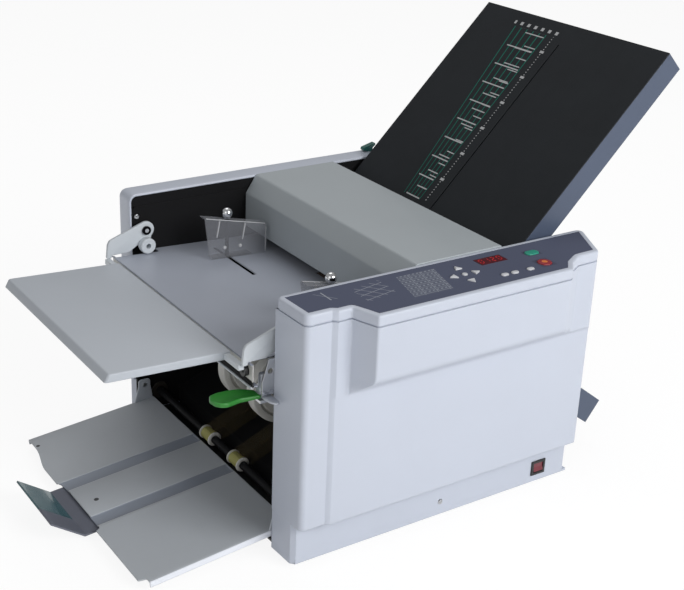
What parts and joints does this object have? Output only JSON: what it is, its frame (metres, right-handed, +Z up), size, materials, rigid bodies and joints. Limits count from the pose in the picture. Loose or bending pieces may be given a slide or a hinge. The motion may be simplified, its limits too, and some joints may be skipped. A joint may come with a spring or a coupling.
{
  "type": "paper folding machine",
  "caption": "Desk-top friction-feed paper folding machine with a folding feed table, side guides, roller fold unit, two buckle fold plates, a delivery conveyor and an exit tray.",
  "frame": {"origin": "centre of the whole machine's footprint, on the desk", "axes": "x runs with the paper from the feed table to the fold plates, y runs from the control side to the plain side, z up"},
  "size_m": [0.7698, 0.4736, 0.5093],
  "materials": {
    "cover_white": "moulded ABS, slightly bluish off-white, satin gloss",
    "tub_white": "moulded ABS base, off-white",
    "frame_black": "steel plate, black powder coat",
    "bright_steel": "turned and zinc plated steel",
    "plate_steel": "folded sheet steel, blue-grey enamel",
    "panel_slate": "printed panel film, dark slate",
    "display_dark": "dark tinted display window on a circuit board",
    "black_plastic": "black moulded plastic",
    "rocker_red": "red moulded rocker",
    "pad_brown": "friction pad",
    "foot_rubber": "moulded rubber",
    "bush_bronze": "sintered bronze",
    "motor_grey": "painted motor can",
    "belt_amber": "translucent amber-brown belt",
    "table_white": "folded sheet steel, pale enamel",
    "clear_smoke": "smoked clear acrylic",
    "chrome": "polished chrome",
    "lever_green": "bright green moulded grip",
    "roller_grey": "dark grey roller rubber on a steel shaft",
    "gear_cream": "cream moulded plastic",
    "hump_grey": "sheet steel cover, grey-green enamel",
    "face_black": "near-black textured sheet steel",
    "case_blue": "blue-grey pressed steel case",
    "stop_steel": "plated steel stop bar",
    "release_green": "teal-green moulded catch",
    "tray_grey": "folded sheet steel, grey enamel",
    "flap_teal": "translucent teal plastic",
    "key_pale": "pale moulded key cap",
    "start_green": "green moulded key",
    "stop_red": "red moulded key"
  },
  "bodies": {
    "base": {"base_tub": "tub_white", "rubber_feet": "foot_rubber", "near_frame": "frame_black", "far_frame": "frame_black", "cross_bars": "bright_steel", "near_cover": "cover_white", "far_cover": "cover_white", "control_cap": "cover_white", "panel_film": "panel_slate", "display_board": "display_dark", "switch_frame": "black_plastic", "cover_screws": "bright_steel", "rear_cover": "cover_white", "power_inlet": "black_plastic", "feed_plate": "plate_steel", "separator_pad": "pad_brown", "lever_bracket": "bright_steel", "skew_knob": "black_plastic", "roller_bushes": "bush_bronze", "drive_motor": "motor_grey", "belts": "belt_amber", "plate_1_case": "case_blue", "plate_1_face": "face_black", "plate_2_case": "case_blue"},
    "rocker": {"switch_rocker": "rocker_red"},
    "table": {"feed_table": "table_white", "table_arms": "table_white"},
    "guide_far_b": {"guide_far": "clear_smoke"},
    "guide_near_b": {"guide_near": "clear_smoke"},
    "knob_far": {"guide_knob_far": "chrome"},
    "knob_near": {"guide_knob_near": "chrome"},
    "lever": {"lever_plate": "bright_steel", "lever_grip": "lever_green"},
    "feed": {"feed_roller": "roller_grey"},
    "idler": {"idler_gear": "gear_cream"},
    "roll1": {"fold_roller_1": "roller_grey"},
    "roll2": {"fold_roller_2": "roller_grey"},
    "roll3": {"fold_roller_3": "roller_grey"},
    "roll4": {"fold_roller_4": "roller_grey"},
    "motor_shaft": {"motor_pulley": "bright_steel"},
    "conv_a": {"conveyor_front": "gear_cream"},
    "conv_b": {"conveyor_rear": "gear_cream"},
    "wheels": {"stacker_wheels": "gear_cream"},
    "cover": {"centre_cover": "hump_grey"},
    "stop_1": {"plate_1_stop": "stop_steel"},
    "stop_2": {"plate_2_stop": "stop_steel"},
    "release": {"plate_release": "release_green"},
    "tray": {"delivery_tray": "tray_grey"},
    "tray_end": {"tray_stop": "tray_grey", "tray_flap": "flap_teal"},
    "b_key_up_arrow": {"key_up_arrow": "key_pale"},
    "b_key_down_arrow": {"key_down_arrow": "key_pale"},
    "b_key_left_arrow": {"key_left_arrow": "key_pale"},
    "b_key_right_arrow": {"key_right_arrow": "key_pale"},
    "b_key_ok": {"key_ok": "key_pale"},
    "b_key_menu_1": {"key_menu_1": "key_pale"},
    "b_key_menu_2": {"key_menu_2": "key_pale"},
    "b_key_menu_3": {"key_menu_3": "key_pale"},
    "b_start_key": {"start_key": "start_green"},
    "b_stop_key": {"stop_key": "stop_red"}
  },
  "joints": [
    {"name": "main_roller", "type": "hinge", "parent": "base", "child": "roll2", "pos_m": [0.10805, 0.02985, 0.20587], "axis": [0, 1, 0], "continuous": true},
    {"name": "roller_1_turn", "type": "hinge", "parent": "base", "child": "roll1", "pos_m": [0.08234, 0.02985, 0.23149], "axis": [0, 1, 0], "continuous": true},
    {"name": "roller_3_turn", "type": "hinge", "parent": "base", "child": "roll3", "pos_m": [0.1438, 0.02985, 0.21217], "axis": [0, 1, 0], "continuous": true},
    {"name": "roller_4_turn", "type": "hinge", "parent": "base", "child": "roll4", "pos_m": [0.10174, 0.02985, 0.17012], "axis": [0, 1, 0], "continuous": true},
    {"name": "idler_turn", "type": "hinge", "parent": "base", "child": "idler", "pos_m": [0.0495, 0.02985, 0.22627], "axis": [0, 1, 0], "continuous": true},
    {"name": "feed_turn", "type": "hinge", "parent": "base", "child": "feed", "pos_m": [0.01909, 0.02985, 0.25561], "axis": [0, 1, 0], "continuous": true},
    {"name": "motor_turn", "type": "hinge", "parent": "base", "child": "motor_shaft", "pos_m": [0.14909, 0.02985, 0.06], "axis": [0, 1, 0], "continuous": true},
    {"name": "conveyor_rear_turn", "type": "hinge", "parent": "base", "child": "conv_b", "pos_m": [0.06912, 0.02985, 0.12389], "axis": [0, 1, 0], "continuous": true},
    {"name": "conveyor_front_turn", "type": "hinge", "parent": "base", "child": "conv_a", "pos_m": [-0.14191, 0.02985, 0.036], "axis": [0, 1, 0], "continuous": true},
    {"name": "stacker_turn", "type": "hinge", "parent": "base", "child": "wheels", "pos_m": [-0.07991, 0.02985, 0.12308], "axis": [0, 1, 0], "continuous": true},
    {"name": "table_fold", "type": "hinge", "parent": "base", "child": "table", "pos_m": [-0.16041, 0.02985, 0.267], "axis": [0, 1, 0], "range_deg": [0, 110]},
    {"name": "cover_lift", "type": "hinge", "parent": "base", "child": "cover", "pos_m": [0.11609, 0.02985, 0.287], "axis": [0, 1, 0], "range_deg": [0, 60]},
    {"name": "tray_fold", "type": "hinge", "parent": "base", "child": "tray", "pos_m": [-0.16591, 0.02985, 0.051], "axis": [0, 1, 0], "range_deg": [0, 45]},
    {"name": "tray_end_slide", "type": "slide", "parent": "tray", "child": "tray_end", "axis": [-0.9951, 0, -0.0993], "range_m": [-0.016, 0.034]},
    {"name": "lever_turn", "type": "hinge", "parent": "base", "child": "lever", "pos_m": [-0.18691, -0.13615, 0.196], "axis": [0, 0, 1], "range_deg": [-28, 5]},
    {"name": "guide_near_slide", "type": "slide", "parent": "base", "child": "guide_near_b", "axis": [0, 1, 0], "range_m": [-0.03, 0.06]},
    {"name": "guide_far_slide", "type": "slide", "parent": "base", "child": "guide_far_b", "axis": [0, -1, 0], "range_m": [-0.03, 0.06]},
    {"name": "knob_near_turn", "type": "hinge", "parent": "guide_near_b", "child": "knob_near", "pos_m": [-0.07291, -0.08815, 0.24], "axis": [0, 0, 1], "continuous": true},
    {"name": "knob_far_turn", "type": "hinge", "parent": "guide_far_b", "child": "knob_far", "pos_m": [-0.07291, 0.14785, 0.24], "axis": [0, 0, 1], "continuous": true},
    {"name": "stop_1_slide", "type": "slide", "parent": "base", "child": "stop_1", "axis": [0.7059, 0, 0.7083], "range_m": [-0.1, 0.14]},
    {"name": "stop_2_slide", "type": "slide", "parent": "base", "child": "stop_2", "axis": [0.7965, 0, -0.6046], "range_m": [-0.012, 0.028]},
    {"name": "release_turn", "type": "hinge", "parent": "base", "child": "release", "pos_m": [0.19409, 0.22685, 0.3], "axis": [0, 1, 0], "range_deg": [0, 12], "stiffness_Nm_per_rad": 0.05},
    {"name": "rocker_turn", "type": "hinge", "parent": "base", "child": "rocker", "pos_m": [0.17509, -0.18295, 0.027], "axis": [1, 0, 0], "range_deg": [0, 16]},
    {"name": "key_up_arrow_press", "type": "slide", "parent": "base", "child": "b_key_up_arrow", "axis": [0, 0, -1], "range_m": [0, 0.001], "stiffness_N_per_m": 400},
    {"name": "key_down_arrow_press", "type": "slide", "parent": "base", "child": "b_key_down_arrow", "axis": [0, 0, -1], "range_m": [0, 0.001], "stiffness_N_per_m": 400},
    {"name": "key_left_arrow_press", "type": "slide", "parent": "base", "child": "b_key_left_arrow", "axis": [0, 0, -1], "range_m": [0, 0.001], "stiffness_N_per_m": 400},
    {"name": "key_right_arrow_press", "type": "slide", "parent": "base", "child": "b_key_right_arrow", "axis": [0, 0, -1], "range_m": [0, 0.001], "stiffness_N_per_m": 400},
    {"name": "key_ok_press", "type": "slide", "parent": "base", "child": "b_key_ok", "axis": [0, 0, -1], "range_m": [0, 0.001], "stiffness_N_per_m": 400},
    {"name": "key_menu_1_press", "type": "slide", "parent": "base", "child": "b_key_menu_1", "axis": [0, 0, -1], "range_m": [0, 0.001], "stiffness_N_per_m": 400},
    {"name": "key_menu_2_press", "type": "slide", "parent": "base", "child": "b_key_menu_2", "axis": [0, 0, -1], "range_m": [0, 0.001], "stiffness_N_per_m": 400},
    {"name": "key_menu_3_press", "type": "slide", "parent": "base", "child": "b_key_menu_3", "axis": [0, 0, -1], "range_m": [0, 0.001], "stiffness_N_per_m": 400},
    {"name": "start_key_press", "type": "slide", "parent": "base", "child": "b_start_key", "axis": [0, 0, -1], "range_m": [0, 0.001], "stiffness_N_per_m": 400},
    {"name": "stop_key_press", "type": "slide", "parent": "base", "child": "b_stop_key", "axis": [0, 0, -1], "range_m": [0, 0.001], "stiffness_N_per_m": 400}
  ],
  "couplings": [
    {"joint": "roller_1_turn", "follows": "main_roller", "ratio": -1},
    {"joint": "roller_3_turn", "follows": "main_roller", "ratio": -1},
    {"joint": "roller_4_turn", "follows": "main_roller", "ratio": -1},
    {"joint": "idler_turn", "follows": "main_roller", "ratio": 1.2},
    {"joint": "feed_turn", "follows": "main_roller", "ratio": -0.66667},
    {"joint": "motor_turn", "follows": "main_roller", "ratio": 2},
    {"joint": "conveyor_rear_turn", "follows": "main_roller", "ratio": -0.5},
    {"joint": "conveyor_front_turn", "follows": "main_roller", "ratio": -0.5},
    {"joint": "stacker_turn", "follows": "main_roller", "ratio": 0.091579}
  ]
}
